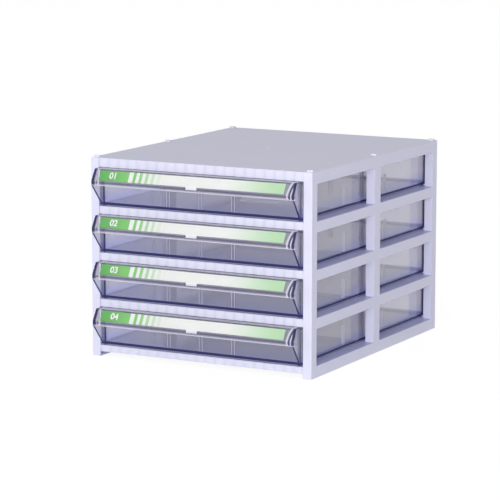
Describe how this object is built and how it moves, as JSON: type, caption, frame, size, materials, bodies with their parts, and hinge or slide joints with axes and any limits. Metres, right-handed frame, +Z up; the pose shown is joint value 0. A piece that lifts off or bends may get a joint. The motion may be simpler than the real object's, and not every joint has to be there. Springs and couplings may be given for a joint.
{
  "type": "parts drawer cabinet",
  "caption": "Stackable desktop box for small parts: open moulded side frames, shelves and clear drawers with full-width label pulls that slide out at the front.",
  "frame": {"origin": "under the middle of the whole box, on the surface it stands on", "axes": "+Z up, drawers open towards -Y, +X to the right side frame as seen from the front"},
  "size_m": [0.27, 0.3382, 0.2218],
  "materials": {
    "moulded_frame": "pale lilac-white moulded polystyrene, fine satin",
    "peg_plastic": "white soft plastic, satin",
    "clear_drawer": "clear bluish polystyrene, polished",
    "label_card": "printed card, white and green",
    "label_cover": "clear film strip, glossy"
  },
  "bodies": {
    "cabinet": {"right_side_frame": "moulded_frame", "left_side_frame": "moulded_frame", "top_panel": "moulded_frame", "shelf_1": "moulded_frame", "shelf_2": "moulded_frame", "shelf_3": "moulded_frame", "base_panel": "moulded_frame", "stacking_pegs": "peg_plastic"},
    "drawer_1_body": {"drawer_1": "clear_drawer", "label_card_1": "label_card", "label_cover_1": "label_cover"},
    "drawer_2_body": {"drawer_2": "clear_drawer", "label_card_2": "label_card", "label_cover_2": "label_cover"},
    "drawer_3_body": {"drawer_3": "clear_drawer", "label_card_3": "label_card", "label_cover_3": "label_cover"},
    "drawer_4_body": {"drawer_4": "clear_drawer", "label_card_4": "label_card", "label_cover_4": "label_cover"}
  },
  "joints": [
    {"name": "drawer_1_slide", "type": "slide", "parent": "cabinet", "child": "drawer_1_body", "axis": [0, -1, 0], "range_m": [0, 0.25]},
    {"name": "drawer_2_slide", "type": "slide", "parent": "cabinet", "child": "drawer_2_body", "axis": [0, -1, 0], "range_m": [0, 0.25]},
    {"name": "drawer_3_slide", "type": "slide", "parent": "cabinet", "child": "drawer_3_body", "axis": [0, -1, 0], "range_m": [0, 0.25]},
    {"name": "drawer_4_slide", "type": "slide", "parent": "cabinet", "child": "drawer_4_body", "axis": [0, -1, 0], "range_m": [0, 0.25]}
  ]
}
